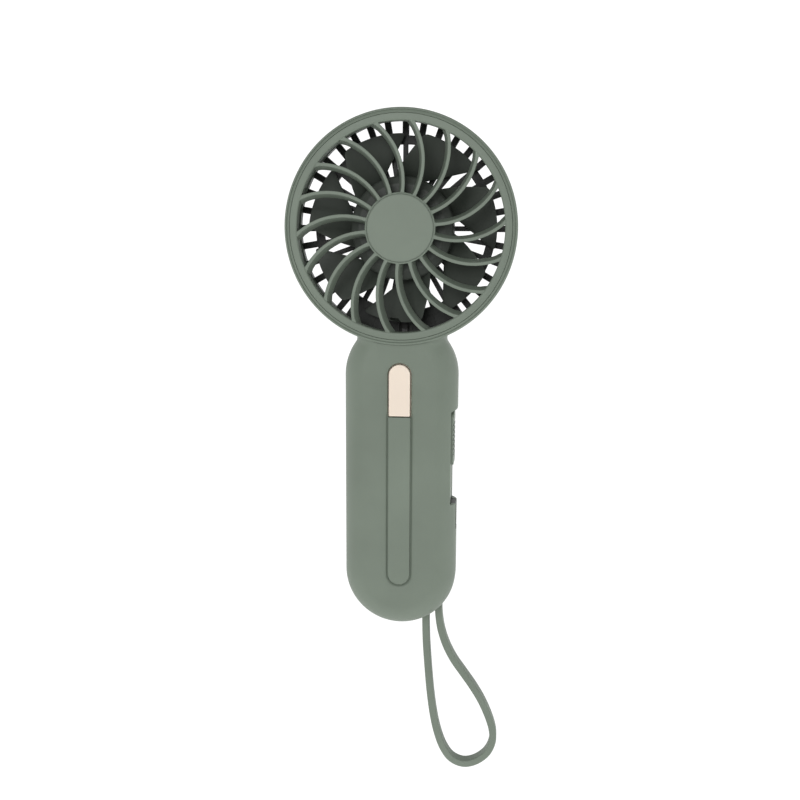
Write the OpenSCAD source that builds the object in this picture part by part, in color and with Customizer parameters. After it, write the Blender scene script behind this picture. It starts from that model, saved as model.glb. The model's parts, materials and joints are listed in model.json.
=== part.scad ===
// Handheld electric fan: round ducted head with swept front ribs, flat rounded handle,
// press button, recessed side slider, charging port and a looped wrist strap.
// +Z runs up the handle to the head, the air leaves towards -Y, and the origin is on
// the handle's axis at half its thickness, where the hand holds it.

/* [Head] */
// Outer diameter of the round head
head_d = 90; // [88:0.5:92]
// Diameter of the opening inside the front ring
opening_d = 80.2; // [79:0.1:81]
// Number of curved ribs in the front grille
rib_count = 18; // [12:1:20]
// Width of a front rib
rib_w = 1.5; // [1.2:0.1:1.8]
// Radius of the curve that each front rib follows
rib_curve_r = 27.5; // [27:0.1:28]
// Number of radial bars in the rear grille
bar_count = 36; // [30:1:40]

/* [Handle] */
// Width of the handle
handle_w = 45.4; // [44:0.2:47]
// Thickness of the handle, front face to back face
handle_t = 22; // [21:0.5:23]
// Height of the head's centre above the handle's lowest point
reach = 161.7; // [158:0.1:168]
// Rounding of the handle's long edges
edge_r = 9; // [8:0.2:9.5]
// Wall thickness of the two shells
wall = 1.6; // [1.4:0.1:1.8]

/* [Front strip] */
// Width of the button and of the strip below it
strip_w = 8.7; // [8:0.1:9]
// Gap round the button
button_gap = 0.35; // [0.25:0.05:0.4]
// How far the button travels when pressed
button_travel = 0.5; // [0.3:0.1:0.6]

/* [Impeller] */
// Number of blades
blade_count = 7; // [5:1:9]
// Radius of the blade tips
blade_tip_r = 37; // [35:0.5:37.5]
// Outer radius of the impeller's hub
rotor_hub_r = 20.2; // [19.5:0.1:20.5]

/* [Side controls] */
// How far the slider travels down its track
slider_travel = 12; // [8:1:12]
// Depth of the flat that the slider lies in, below the handle's side
side_flat = 2.5; // [2.2:0.1:2.7]

/* [Strap] */
// Width of the strap, front to back
strap_w = 5; // [4:0.2:5.2]
// Thickness of the strap
strap_t = 3; // [2.2:0.1:3]

/* [Hidden] */
$fn = 96;

// Heights along the handle, from the origin
grip_z = 59.2;
bottom_z = -grip_z;
head_z = bottom_z + reach;
handle_r = handle_w / 2;
low_centre_z = bottom_z + handle_r;
high_centre_z = 44.6;
face_y = handle_t / 2;

// Head
head_r = head_d / 2;
rim_wall = 2;
rim_in_r = head_r - rim_wall;
head_front_y = -face_y - 1.5;
opening_r = opening_d / 2;
ring_gap = 0.15;
ring_r = rim_in_r - ring_gap;
hub_r = 13.6;
badge_r = 12.8;
grille_face_t = 1.6;
skirt_t = 1.4;
skirt_back_y = -7.3;
ledge_front_y = -8.4;
rib_front_y = head_front_y + 0.3;
rib_back_y = rib_front_y + 4.8;
rib_slant = 1.6;
rib_first = 6;
hub_disc_t = 2.9;
// A rib leaves the hub 4 degrees clockwise of straight out and then bends the other way
rib_lean = 4;
rib_cx = hub_r + 0.1 + rib_curve_r * sin(rib_lean);
rib_cy = rib_curve_r * cos(rib_lean);

// Rear grille
bar_first = 0;
bar_outer_w = 2.6;
bar_inner_w = 2.0;
rear_disc_r = 19.5;
rear_ring_in = 33;
rear_ring_out = 36.5;
rear_rim_in = 42.4;
rear_front_y = 8.4;
rear_back_y = face_y - 0.2;
closed_half_angle = 35;
duct_w = 7;

// Impeller and motor
hub_front_y = -5;
hub_face_t = 1.4;
hub_back_y = 6.5;
hub_step_r = 17.5;
blade_front_y = -4.8;
blade_back_y = 6.1;
blade_t = 1.4;
// Corners of a blade's outline before it is cut to the hub and the tip circle: angles of its
// clockwise and anticlockwise edges near the hub and beyond the tip, and a bend in the latter
blade_root_r = 18.2;
blade_root_a = [3, 31];
blade_bend_r = 28.5;
blade_bend_a = 14.5;
blade_far_r = 43;
blade_far_a = [-37, 2];
blade_first = 71;
blade_pitch = 16;
blade_mid_y = -0.9;
shaft_r = 1;
bearing_bore_r = 1.03;
bearing_r = 2.98;
tube_in_r = 3;
tube_r = 4;
core_front_y = 0;
core_back_y = 4.4;
core_r = 11;
tooth_count = 9;
tooth_w = 1.7;
coil_t = 0.75;
cup_r = 14.5;
cup_t = 0.8;
board_in_r = 4.4;
motor_board_r = 13;
motor_board_y = [6.7, 7.6];
motor_screw_pcd = 18;

// Front strip and button
strip_top_z = 49.8;
button_low_z = 28.9;
strip_low_z = -40.5;
groove_w = 0.75;
strip_depth = 1.1;
backing_t = 1.1;
backing_y = -face_y + wall + backing_t;
button_mid_z = (strip_top_z + button_low_z) / 2;
button_front_y = -face_y - 0.15;
flange_y = [backing_y + 0.1, backing_y + 0.9];
plunger_r = 1.7;
plunger_y = [flange_y[1], flange_y[1] + 2];
switch_y = flange_y[1] + 1.1;

// Board behind the button
board_y = [-3, -1.8];
board_w = 22;
board_z = [-22, 52];
tab_x = 17.2;
tab_z = [-20, 30];
board_screw_x = 8.5;
board_screw_z = [-16, 32];

// Side flat, slider and port, on the +X side
side_x = handle_r - side_flat;
side_z = [-7.5, 30.5];
side_half_y = 8;
plate_t = 1.6;
slider_z = [8.6, 29.8];
slider_half_y = 6.5;
slider_corner_r = 2.4;
slider_h = 1.2;
stem_z = [21.2, 26];
stem_half_y = 1.75;
lever_z = [22.8, 24.4];
bezel_z = [-18.4, -7.6];
bezel_half_y = 3.6;
bezel_inset = 0.35;
port_z = -13;
port_y = -0.2;
port_h = 8.9;
port_t = 3.2;

// Battery behind the board
cell_x = [-15.5, 11];
cell_y = [1.9, 8.6];
cell_z = [-40.6, 9.4];

// Screws that join the two shells: x and z of each
shell_screws_xz = [[-14.5, 47.5], [14.5, 47.5], [-11, -46], [14.6, -33]];
screw_r = 1;
post_r = 2.9;

// Strap: the pin it loops round, and the slot in the back corner of the handle
pin_x = 12.9;
pin_z = -46.5;
pin_r = 1;
strap_y = 6.6;
slot_x = [7.9, 17.9];
slot_y = [3.8, 9.4];
slot_top_z = -42.4;
// Route of the strap's middle line, in x and z, from the top of the pin, down the left
// strand, round the hanging loop and back up over the pin
strap_route = [
    [12.75, -43.95], [11.1, -44.7], [10.35, -46.5], [10.2, -53], [10.1, -61], [10.4, -71],
    [11.2, -82], [12.2, -93], [13.7, -104], [15.6, -112.5], [18.2, -119.4], [21.8, -124.2],
    [27, -126.2], [32.3, -124.8], [37, -120.8], [39.3, -115.5], [39.3, -110.5], [37.6, -104.5],
    [34.4, -97.2], [30.6, -90.8], [26.4, -84.8], [22.2, -78.8], [19, -72.6], [16.8, -66],
    [15.7, -59.5], [15.45, -53], [15.45, -46.5], [14.7, -44.7], [13.05, -43.95]];
// Route of the motor's leads, in y and z, from the motor's board down to the main board
motor_lead_route = [[8.05, 95.6], [9.05, 92.5], [9.1, 85], [9.1, 70], [9.1, 62], [8.2, 57.5],
    [4.5, 55], [0.8, 54.6], [-0.9, 53.4], [-1.2, 51.5], [-1.2, 47.4]];
// Route of the battery's leads, in y and z, from the top of the cell to the main board
cell_lead_route = [[5, 9.4], [5, 11.4], [4.2, 13], [2, 13.6], [0, 14.2], [-1.1, 15.8],
    [-1.2, 18.3]];

sage = [0.47, 0.53, 0.48];
sage_light = [0.5, 0.56, 0.51];
cream = [0.93, 0.88, 0.81];
dark_green = [0.2, 0.23, 0.2];
near_black = [0.09, 0.1, 0.09];
steel = [0.72, 0.73, 0.75];
brass = [0.8, 0.66, 0.35];
copper = [0.78, 0.42, 0.22];
board_green = [0.1, 0.34, 0.2];

// ---- shared shapes ----

// Extrudes an outline drawn in x and z from y = y0 to y = y1
module slab(y0, y1) {
    translate([0, y1, 0])
        rotate([90, 0, 0])
            linear_extrude(y1 - y0)
                children();
}

// A box between two corners
module block(low, high) {
    translate(low)
        cube(high - low);
}

// Turns a profile of radius and y round the head's axis
module turned() {
    translate([0, 0, head_z])
        rotate([-90, 0, 0])
            rotate_extrude()
                children();
}

// A ring round the head's axis, between two radii and two y values
module ring(r_in, r_out, y0, y1) {
    turned()
        translate([r_in, y0])
            square([r_out - r_in, y1 - y0]);
}

// A round rod along y
module rod(r, x, z, y0, y1) {
    translate([x, y0, z])
        rotate([-90, 0, 0])
            cylinder(r = r, h = y1 - y0);
}

// Half of the handle's section, x from 0 outwards
module half_section(half_w, half_t, r) {
    translate([0, -half_t])
        square([half_w - r, 2 * half_t]);
    translate([0, -(half_t - r)])
        square([half_w, 2 * (half_t - r)]);
    for (s = [-1, 1])
        translate([half_w - r, s * (half_t - r)])
            circle(r);
}

// The handle's outer form, drawn in by inset all round
module handle_form(inset) {
    half_w = handle_r - inset;
    half_t = face_y - inset;
    r = edge_r - inset;
    translate([0, 0, low_centre_z])
        linear_extrude(high_centre_z - low_centre_z)
            union() {
                half_section(half_w, half_t, r);
                mirror([1, 0])
                    half_section(half_w, half_t, r);
            }
    translate([0, 0, low_centre_z])
        rotate([-90, 0, 0])
            rotate_extrude(angle = 180)
                half_section(half_w, half_t, r);
    translate([0, 0, high_centre_z])
        rotate([90, 0, 0])
            rotate_extrude(angle = 180)
                half_section(half_w, half_t, r);
}

// The head's outer form: a drum with its front edge eased and its back edge chamfered
module head_form() {
    turned()
        polygon([
            [0, head_front_y], [head_r - 0.9, head_front_y], [head_r - 0.3, head_front_y + 0.3],
            [head_r, head_front_y + 0.9], [head_r, face_y - 2], [head_r - 0.6, face_y - 0.6],
            [head_r - 1.1, face_y], [0, face_y]]);
}

// One half of the body, hollow, open to the head's bore: side is -1 in front, 1 behind
module half_body(side) {
    y0 = side < 0 ? head_front_y - 1 : 0;
    y1 = side < 0 ? 0 : face_y + 1;
    difference() {
        intersection() {
            union() {
                handle_form(0);
                head_form();
            }
            block([-60, y0, bottom_z - 5], [60, y1, head_z + 60]);
        }
        difference() {
            handle_form(wall);
            rod(head_r, 0, head_z, -20, 20);
        }
        rod(rim_in_r, 0, head_z, -20, 20);
        side_cut();
    }
}

// What both shells leave open on the +X side, for the side panel and the port's bezel
module side_cut() {
    block([side_x - 4, -side_half_y, side_z[0]], [handle_r + 1, side_half_y, side_z[1]]);
    block([side_x - 4, -bezel_half_y - 0.05, bezel_z[0] - 0.05],
        [handle_r + 1, bezel_half_y + 0.05, side_z[0] + 1]);
}

// Outline of the front strip in x and z, widened by grow
module strip_outline(grow, low_z, high_z) {
    r = strip_w / 2 + grow;
    translate([0, low_z + strip_w / 2])
        circle(r);
    translate([0, high_z - strip_w / 2])
        circle(r);
    translate([-r, low_z + strip_w / 2])
        square([2 * r, high_z - low_z - strip_w]);
}

// Outline of the button, round at the top and square at the bottom
module button_outline(grow) {
    r = strip_w / 2 + grow;
    translate([0, strip_top_z - strip_w / 2])
        circle(r);
    translate([-r, button_low_z - grow])
        square([2 * r, strip_top_z - strip_w / 2 - button_low_z + grow]);
}

// ---- shells ----

module front_shell() {
    color(sage)
        difference() {
            union() {
                half_body(-1);
                // backing behind the strip, and the ledge under the grille's ring
                block([-7.5, -face_y + wall - 0.3, -44], [7.5, backing_y, 54]);
                difference() {
                    ring(opening_r + skirt_t + 0.5, rim_in_r + 0.5, ledge_front_y,
                        ledge_front_y + 1.2);
                    block([-2, -10, head_z - 45], [2, -5, head_z - 40]);
                }
                // posts for the shell screws and the board's screws
                intersection() {
                    handle_form(wall / 2);
                    for (p = shell_screws_xz)
                        rod(post_r, p[0], p[1], -face_y + wall - 0.5, -0.05);
                }
                for (z = board_screw_z)
                    rod(2.3, -board_screw_x, z, -face_y + wall - 0.5, board_y[0]);
            }
            slab(-face_y - 1, backing_y + 1)
                button_outline(button_gap);
            slab(-face_y - 1, -face_y + strip_depth)
                strip_outline(groove_w, strip_low_z, button_low_z + strip_w / 2);
            for (p = shell_screws_xz)
                rod(screw_r + 0.02, p[0], p[1], -7.2, 1);
            for (z = board_screw_z)
                rod(0.82, -board_screw_x, z, -7.6, 0);
        }
}

module rear_shell() {
    color(sage)
        difference() {
            union() {
                half_body(1);
                // ledge in front of the rear grille's rim
                difference() {
                    ring(rear_rim_in, rim_in_r + 0.5, rear_front_y - 1.2, rear_front_y);
                    block([-5, 0, head_z - 46], [5, 10, head_z - 40]);
                }
                intersection() {
                    handle_form(wall / 2);
                    for (p = shell_screws_xz)
                        rod(post_r + 0.3, p[0], p[1], 0.05, face_y - wall + 0.5);
                }
                // walls round the strap's slot
                intersection() {
                    handle_form(0.02);
                    block([slot_x[0] - 1.3, slot_y[0] - 1.4, bottom_z],
                        [slot_x[1] + 1.3, face_y, slot_top_z + 1.3]);
                }
            }
            for (p = shell_screws_xz) {
                rod(screw_r + 0.15, p[0], p[1], -1, face_y + 1);
                rod(2.15, p[0], p[1], face_y - 2.4, face_y + 1);
            }
            block([slot_x[0], slot_y[0], bottom_z - 5], [slot_x[1], slot_y[1], slot_top_z]);
            rod(pin_r + 0.02, pin_x, pin_z, slot_y[0] - 1.5, slot_y[1] + 0.7);
            // the leads' way from the head down into the handle
            block([-4, 5, head_z - 47], [4, rear_front_y + 1.6, head_z - 42]);
        }
}

// ---- grilles ----

// One front rib: a curved vane that leans anticlockwise, seen from the front, towards its back
module rib() {
    h = rib_back_y - rib_front_y;
    intersection() {
        translate([rib_cx, rib_back_y, rib_cy])
            rotate([90, 0, 0])
                difference() {
                    cylinder(r1 = rib_curve_r + rib_w / 2 - rib_slant,
                        r2 = rib_curve_r + rib_w / 2, h = h);
                    cylinder(r1 = rib_curve_r - rib_w / 2 - rib_slant,
                        r2 = rib_curve_r - rib_w / 2, h = h);
                }
        slab(rib_front_y - 1, rib_back_y + 1)
            intersection() {
                difference() {
                    circle(opening_r + 0.6);
                    circle(hub_r - 0.6);
                }
                polygon([[0, 0], [60, -12], [60, 42]]);
            }
    }
}

module front_grille() {
    color(sage_light)
        difference() {
            union() {
                ring(opening_r, ring_r, head_front_y, head_front_y + grille_face_t);
                ring(opening_r, opening_r + skirt_t, head_front_y, skirt_back_y);
                ring(ring_r - 0.9, ring_r, head_front_y, ledge_front_y);
                turned()
                    polygon([
                        [0, head_front_y + 0.1], [hub_r - 0.4, head_front_y + 0.1],
                        [hub_r, head_front_y + 0.5], [hub_r, head_front_y + hub_disc_t],
                        [0, head_front_y + hub_disc_t]]);
                translate([0, 0, head_z])
                    for (i = [0 : rib_count - 1])
                        rotate([0, -rib_first - i * 360 / rib_count, 0])
                            rib();
            }
            rod(badge_r + 0.05, 0, head_z, head_front_y - 1, head_front_y + 0.9);
        }
}

module hub_badge() {
    color(sage)
        turned()
            polygon([
                [0, head_front_y + 0.1], [badge_r - 0.3, head_front_y + 0.1],
                [badge_r, head_front_y + 0.3], [badge_r, head_front_y + 0.9],
                [0, head_front_y + 0.9]]);
}

module rear_grille() {
    closed_x = rear_rim_in * tan(closed_half_angle);
    color(near_black)
        difference() {
            union() {
                translate([0, 0, head_z])
                    slab(rear_front_y, rear_back_y) {
                        circle(rear_disc_r);
                        difference() {
                            circle(rear_ring_out);
                            circle(rear_ring_in);
                        }
                        difference() {
                            circle(ring_r);
                            circle(rear_rim_in);
                        }
                        for (i = [0 : bar_count - 1])
                            rotate(bar_first + i * 360 / bar_count) {
                                translate([rear_disc_r - 1, -bar_inner_w / 2])
                                    square([rear_ring_in - rear_disc_r + 2, bar_inner_w]);
                                translate([rear_ring_out - 1, -bar_outer_w / 2])
                                    square([rear_rim_in - rear_ring_out + 1.2, bar_outer_w]);
                            }
                        intersection() {
                            difference() {
                                circle(rear_rim_in + 0.5);
                                circle(rear_ring_out - 1);
                            }
                            polygon([[0, 0], [-closed_x, -rear_rim_in], [closed_x, -rear_rim_in]]);
                        }
                        translate([-duct_w / 2, -rear_rim_in - 0.5])
                            square([duct_w, rear_rim_in - rear_disc_r + 2]);
                    }
                // seat of the bearing tube, and three bosses for the motor's board
                ring(tube_r + 0.02, tube_r + 1.6, motor_board_y[1] + 0.1, rear_front_y + 0.5);
                for (i = [0 : 2])
                    rod(2, motor_screw_pcd / 2 * cos(90 + i * 120),
                        head_z + motor_screw_pcd / 2 * sin(90 + i * 120),
                        motor_board_y[1], rear_front_y + 0.5);
            }
            // groove for the motor's leads, down the wide bar
            block([-2.1, rear_front_y - 1, head_z - 44.5], [2.1, rear_front_y + 1.4, head_z - 6.2]);
            for (i = [0 : 2])
                motor_screw_at(i)
                    motor_screw_form(0.06);
        }
}

// ---- impeller and motor ----

function polar(r, a) = [r * cos(a), r * sin(a)];

// One blade: its outline seen from the front, cut out of a thin plate that tilts towards
// the front on its anticlockwise side
module blade() {
    intersection() {
        slab(blade_front_y, blade_back_y)
            intersection() {
                difference() {
                    circle(blade_tip_r);
                    circle(rotor_hub_r - 0.9);
                }
                polygon([
                    polar(blade_root_r, blade_root_a[0]), polar(blade_far_r, blade_far_a[0]),
                    polar(blade_far_r, blade_far_a[1]), polar(blade_bend_r, blade_bend_a),
                    polar(blade_root_r, blade_root_a[1])]);
            }
        translate([0, blade_mid_y, 0])
            rotate([blade_pitch, 0, 0])
                block([0, -blade_t / 2, -50], [50, blade_t / 2, 50]);
    }
}

module impeller() {
    color(dark_green)
        difference() {
            union() {
                turned()
                    polygon([
                        [0, hub_front_y], [hub_step_r, hub_front_y],
                        [rotor_hub_r - 0.6, hub_front_y + 1.3], [rotor_hub_r, hub_front_y + 2.2],
                        [rotor_hub_r, hub_back_y], [rotor_hub_r - 1.4, hub_back_y],
                        [rotor_hub_r - 1.4, hub_front_y + 2.4],
                        [hub_step_r - 0.6, hub_front_y + hub_face_t],
                        [0, hub_front_y + hub_face_t]]);
                ring(cup_r + 0.02, cup_r + 1.3, hub_front_y + 1, 1);
                ring(0, 3, hub_front_y + 0.5, hub_front_y + hub_face_t + 0.2);
                translate([0, 0, head_z])
                    for (i = [0 : blade_count - 1])
                        rotate([0, -blade_first - i * 360 / blade_count, 0])
                            blade();
            }
            rod(shaft_r + 0.01, 0, head_z, hub_front_y + 0.7, 2);
        }
}

module rotor_cup() {
    y0 = hub_front_y + hub_face_t + 0.2;
    color(steel)
        turned()
            polygon([
                [shaft_r + 0.01, y0], [cup_r, y0], [cup_r, 6], [cup_r - cup_t, 6],
                [cup_r - cup_t, y0 + cup_t], [shaft_r + 0.01, y0 + cup_t]]);
}

module magnet_ring() {
    color([0.25, 0.25, 0.27])
        ring(11.7, cup_r - cup_t - 0.02, -0.6, 5.2);
}

module motor_shaft() {
    color(steel)
        rod(shaft_r, 0, head_z, hub_front_y + 0.75, rear_front_y - 0.1);
}

module shaft_clip() {
    color(steel)
        difference() {
            ring(shaft_r + 0.01, 2.2, 7.6, 8);
            block([-0.6, 7, head_z - 3], [0.6, 9, head_z]);
        }
}

module bearing(y0, y1) {
    color(steel) {
        ring(bearing_bore_r, 1.6, y0, y1);
        ring(2.4, bearing_r, y0, y1);
    }
    color(near_black)
        ring(1.6, 2.4, y0 + 0.15, y1 - 0.15);
}

module front_bearing() {
    bearing(-2, 0.3);
}

module rear_bearing() {
    bearing(5, 7.3);
}

module bearing_tube() {
    color(brass)
        ring(tube_in_r, tube_r, -2.1, rear_front_y - 0.02);
}

module stator_core() {
    color([0.5, 0.5, 0.52])
        difference() {
            translate([0, 0, head_z])
                slab(core_front_y, core_back_y)
                    union() {
                        circle(5.4);
                        for (i = [0 : tooth_count - 1])
                            rotate(i * 360 / tooth_count) {
                                translate([4.5, -tooth_w / 2])
                                    square([5.6, tooth_w]);
                                intersection() {
                                    difference() {
                                        circle(core_r);
                                        circle(core_r - 1.2);
                                    }
                                    translate([9, -3])
                                        square([3, 6]);
                                }
                            }
                    }
            rod(tube_r + 0.02, 0, head_z, core_front_y - 1, core_back_y + 1);
        }
}

module stator_windings() {
    gap = 0.03;
    half_in = tooth_w / 2 + gap;
    half_out = half_in + coil_t;
    color(copper)
        translate([0, 0, head_z])
            for (i = [0 : tooth_count - 1])
                rotate([0, -i * 360 / tooth_count, 0])
                    difference() {
                        block([6.2, core_front_y - coil_t - 0.5, -half_out],
                            [9.6, core_back_y + coil_t + 0.5, half_out]);
                        block([6, core_front_y - gap, -half_in], [10, core_back_y + gap, half_in]);
                    }
}

module motor_board() {
    color(board_green)
        difference() {
            ring(board_in_r, motor_board_r, motor_board_y[0], motor_board_y[1]);
            for (i = [0 : 2])
                motor_screw_at(i)
                    rod(0.95, 0, 0, 5, 9);
        }
}

module motor_screw_at(i) {
    a = 90 + i * 120;
    translate([motor_screw_pcd / 2 * cos(a), 0, head_z + motor_screw_pcd / 2 * sin(a)])
        children();
}

// A small screw put in from the back, made larger all round by grow
module motor_screw_form(grow) {
    rod(0.85 + grow, 0, 0, motor_board_y[0] + 0.1 - grow, rear_back_y);
    rod(1.8 + grow, 0, 0, rear_back_y - 1 - grow, rear_back_y + (grow > 0 ? 1 : 0));
}

module motor_screws() {
    color(steel)
        for (i = [0 : 2])
            motor_screw_at(i)
                difference() {
                    motor_screw_form(0);
                    block([-1.2, rear_back_y - 0.4, -0.25], [1.2, rear_back_y + 1, 0.25]);
                    block([-0.25, rear_back_y - 0.4, -1.2], [0.25, rear_back_y + 1, 1.2]);
                }
}

// ---- swept bands: strap and leads ----

// Direction of a route at point i, of length 1
function along(route, i) =
    let (a = route[max(i - 1, 0)], b = route[min(i + 1, len(route) - 1)], d = b - a)
    d / norm(d);

// Corners of a band's rounded section: across the route and along its width
function band_section(t, w, sides) =
    [for (k = [0 : sides - 1])
        let (a = (k + 0.5) * 360 / sides, c = cos(a), s = sin(a))
        [sign(c) * t / 2 * pow(abs(c), 0.5), sign(s) * w / 2 * pow(abs(s), 0.5)]];

// A band swept along a route in the plane of x and z, with its width along y.
// One closed polyhedron: a ring of corners at each point and a cap at each end.
module band(route, t, w, sides) {
    section = band_section(t, w, sides);
    n = len(route);
    points = [for (i = [0 : n - 1])
        let (d = along(route, i))
        for (c = section)
            [route[i][0] - d[1] * c[0], c[1], route[i][1] + d[0] * c[0]]];
    walls = [for (i = [0 : n - 2])
        for (k = [0 : sides - 1])
            let (a = i * sides + k, b = i * sides + (k + 1) % sides)
            [a, b, b + sides, a + sides]];
    low_cap = [for (k = [sides - 1 : -1 : 0]) k];
    high_cap = [for (k = [0 : sides - 1]) (n - 1) * sides + k];
    polyhedron(points, concat(walls, [low_cap, high_cap]), convexity = 6);
}

// The same band for a route in y and z, with its width along x
module upright_band(route, t, w, sides) {
    rotate([0, 0, 90])
        band(route, t, w, sides);
}

module motor_leads() {
    color(near_black)
        upright_band(motor_lead_route, 0.9, 3.4, 8);
}

module battery_leads() {
    color("firebrick")
        translate([-5, 0, 0])
            upright_band(cell_lead_route, 0.9, 2.4, 8);
}

module wrist_strap() {
    color(sage)
        translate([0, strap_y, 0])
            band(strap_route, strap_t, strap_w, 12);
}

module strap_pin() {
    color(steel)
        rod(pin_r, pin_x, pin_z, slot_y[0] - 1.3, slot_y[1] + 0.6);
}

// ---- inside the handle ----

module battery_cell() {
    color([0.55, 0.58, 0.62])
        block([cell_x[0], cell_y[0], cell_z[0]], [cell_x[1], cell_y[1], cell_z[1]]);
}

module battery_pad() {
    color([0.2, 0.2, 0.22])
        block([cell_x[0] + 3, cell_y[1] + 0.02, cell_z[0] + 6],
            [cell_x[1] - 2, face_y - wall - 0.05, cell_z[1] - 6]);
}

module main_board() {
    color(board_green)
        difference() {
            slab(board_y[0], board_y[1])
                union() {
                    translate([-board_w / 2, board_z[0]])
                        square([board_w, board_z[1] - board_z[0]]);
                    translate([0, tab_z[0]])
                        square([tab_x, tab_z[1] - tab_z[0]]);
                }
            for (z = board_screw_z)
                rod(1, -board_screw_x, z, board_y[0] - 1, board_y[1] + 1);
        }
}

module board_parts() {
    y = board_y[1] + 0.01;
    color([0.12, 0.12, 0.13]) {
        block([-4, y, 24], [2, y + 1.2, 30]);
        block([-5, y, -20.5], [1, y + 1.6, -14.5]);
        block([3, y, -21], [7, y + 1.1, -16]);
    }
    color([0.85, 0.84, 0.8]) {
        block([-8.4, y, 18.3], [-1.6, y + 3, 22.3]);
        block([-3.6, y, 42.2], [3.6, y + 3, 47.4]);
    }
}

module board_screws() {
    color(steel)
        for (z = board_screw_z) {
            rod(0.8, -board_screw_x, z, -7.4, board_y[1] + 0.1);
            difference() {
                rod(1.6, -board_screw_x, z, board_y[1] + 0.02, board_y[1] + 1);
                block([-board_screw_x - 1.1, board_y[1] + 0.6, z - 0.25],
                    [-board_screw_x + 1.1, board_y[1] + 2, z + 0.25]);
            }
        }
}

module shell_screws() {
    color(steel)
        for (p = shell_screws_xz)
            difference() {
                union() {
                    rod(screw_r, p[0], p[1], -7, face_y - 2);
                    rod(2, p[0], p[1], face_y - 2.35, face_y - 0.9);
                }
                block([p[0] - 1.4, face_y - 1.5, p[1] - 0.3], [p[0] + 1.4, face_y, p[1] + 0.3]);
                block([p[0] - 0.3, face_y - 1.5, p[1] - 1.4], [p[0] + 0.3, face_y, p[1] + 1.4]);
            }
}

// ---- charging port ----

// Outline of a port, upright, in y and z: long ends round
module port_outline(h, t) {
    for (s = [-1, 1])
        translate([0, s * (h - t) / 2])
            circle(t / 2);
    translate([-t / 2, -(h - t) / 2])
        square([t, h - t]);
}

// Extrudes an outline drawn in y and z round the port's axis, from x0 to x1
module port_slab(x0, x1) {
    translate([x0, port_y, port_z])
        rotate([90, 0, 90])
            linear_extrude(x1 - x0)
                children();
}

module usb_socket() {
    color(steel)
        port_slab(14.8, handle_r - 0.6)
            difference() {
                port_outline(port_h, port_t);
                port_outline(port_h - 0.6, port_t - 0.6);
            }
}

module usb_tongue() {
    color(near_black) {
        port_slab(14.8, 16.6)
            port_outline(port_h - 0.64, port_t - 0.64);
        port_slab(16.6, handle_r - 1.5)
            square([0.7, 6.6], center = true);
    }
}

module port_bezel() {
    color(near_black)
        difference() {
            intersection() {
                translate([0, 0, bezel_z[0]])
                    linear_extrude(bezel_z[1] - bezel_z[0])
                        half_section(handle_r - bezel_inset, face_y - bezel_inset,
                            edge_r - bezel_inset);
                block([side_x - 1.4, -bezel_half_y, bezel_z[0]],
                    [handle_r, bezel_half_y, bezel_z[1]]);
            }
            port_slab(10, 30)
                port_outline(port_h + 0.3, port_t + 0.3);
        }
}

// ---- button and strip ----

module front_button() {
    color(cream) {
        slab(button_front_y, flange_y[0])
            button_outline(0);
        slab(flange_y[0], flange_y[1])
            button_outline(0.9);
    }
}

module switch_plunger() {
    color(near_black)
        rod(plunger_r, 0, button_mid_z, plunger_y[0], plunger_y[1]);
}

module tact_switch() {
    color([0.3, 0.3, 0.32])
        difference() {
            block([-3, switch_y, button_mid_z - 3], [3, board_y[0] - 0.01, button_mid_z + 3]);
            rod(plunger_r + 0.25, 0, button_mid_z, switch_y - 1,
                plunger_y[1] + button_travel + 0.4);
        }
}

module front_strip() {
    color(sage_light)
        slab(-face_y + 0.1, -face_y + strip_depth)
            difference() {
                strip_outline(-0.05, strip_low_z, button_low_z + strip_w / 2);
                translate([-10, button_low_z - button_gap])
                    square([20, 20]);
            }
}

// ---- side slider ----

module side_panel() {
    x0 = side_x - plate_t;
    half_y = side_half_y - 0.08;
    low = side_z[0] + 0.05;
    high = side_z[1] - 0.05;
    color(sage)
        difference() {
            block([x0, -half_y, low], [side_x, half_y, high]);
            block([x0 - 1, -stem_half_y - 0.15, stem_z[0] - slider_travel - 0.3],
                [side_x + 1, stem_half_y + 0.15, stem_z[1] + 0.3]);
        }
}

// A rectangle with round corners, centred left and right, that stands on the first axis
module rounded_rectangle(w, h, r) {
    translate([-w / 2 + r, 0])
        square([w - 2 * r, h]);
    translate([-w / 2, r])
        square([w, h - 2 * r]);
    for (x = [-1, 1], y = [r, h - r])
        translate([x * (w / 2 - r), y])
            circle(r);
}

module side_slider() {
    foot_x = side_x - plate_t - 0.1;
    color(sage_light) {
        difference() {
            translate([side_x + 0.05, 0, slider_z[0]])
                rotate([90, 0, 90])
                    linear_extrude(slider_h - 0.05)
                        rounded_rectangle(2 * slider_half_y, slider_z[1] - slider_z[0],
                            slider_corner_r);
            for (i = [-3 : 3])
                block([side_x + slider_h - 0.4, -slider_half_y - 1,
                        (slider_z[0] + slider_z[1]) / 2 + i * 2 - 0.4],
                    [side_x + slider_h + 1, slider_half_y + 1,
                        (slider_z[0] + slider_z[1]) / 2 + i * 2 + 0.4]);
        }
        block([foot_x, -stem_half_y, stem_z[0]], [side_x + 0.05, stem_half_y, stem_z[1]]);
        block([foot_x - 1, -3.4, stem_z[0] - 1], [foot_x, 3.4, stem_z[1] + 1]);
        block([foot_x - 2.6, -1.4, lever_z[0] - 1.2], [foot_x - 1, 1.4, lever_z[0] - 0.1]);
        block([foot_x - 2.6, -1.4, lever_z[1] + 0.1], [foot_x - 1, 1.4, lever_z[1] + 1.2]);
    }
}

module slide_switch() {
    color([0.3, 0.3, 0.32])
        difference() {
            block([9.4, board_y[1] + 0.01, 9], [14, 1.85, 27]);
            block([12.2, -1, lever_z[0] - slider_travel - 0.4], [15, 1, lever_z[1] + 0.4]);
        }
}

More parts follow.
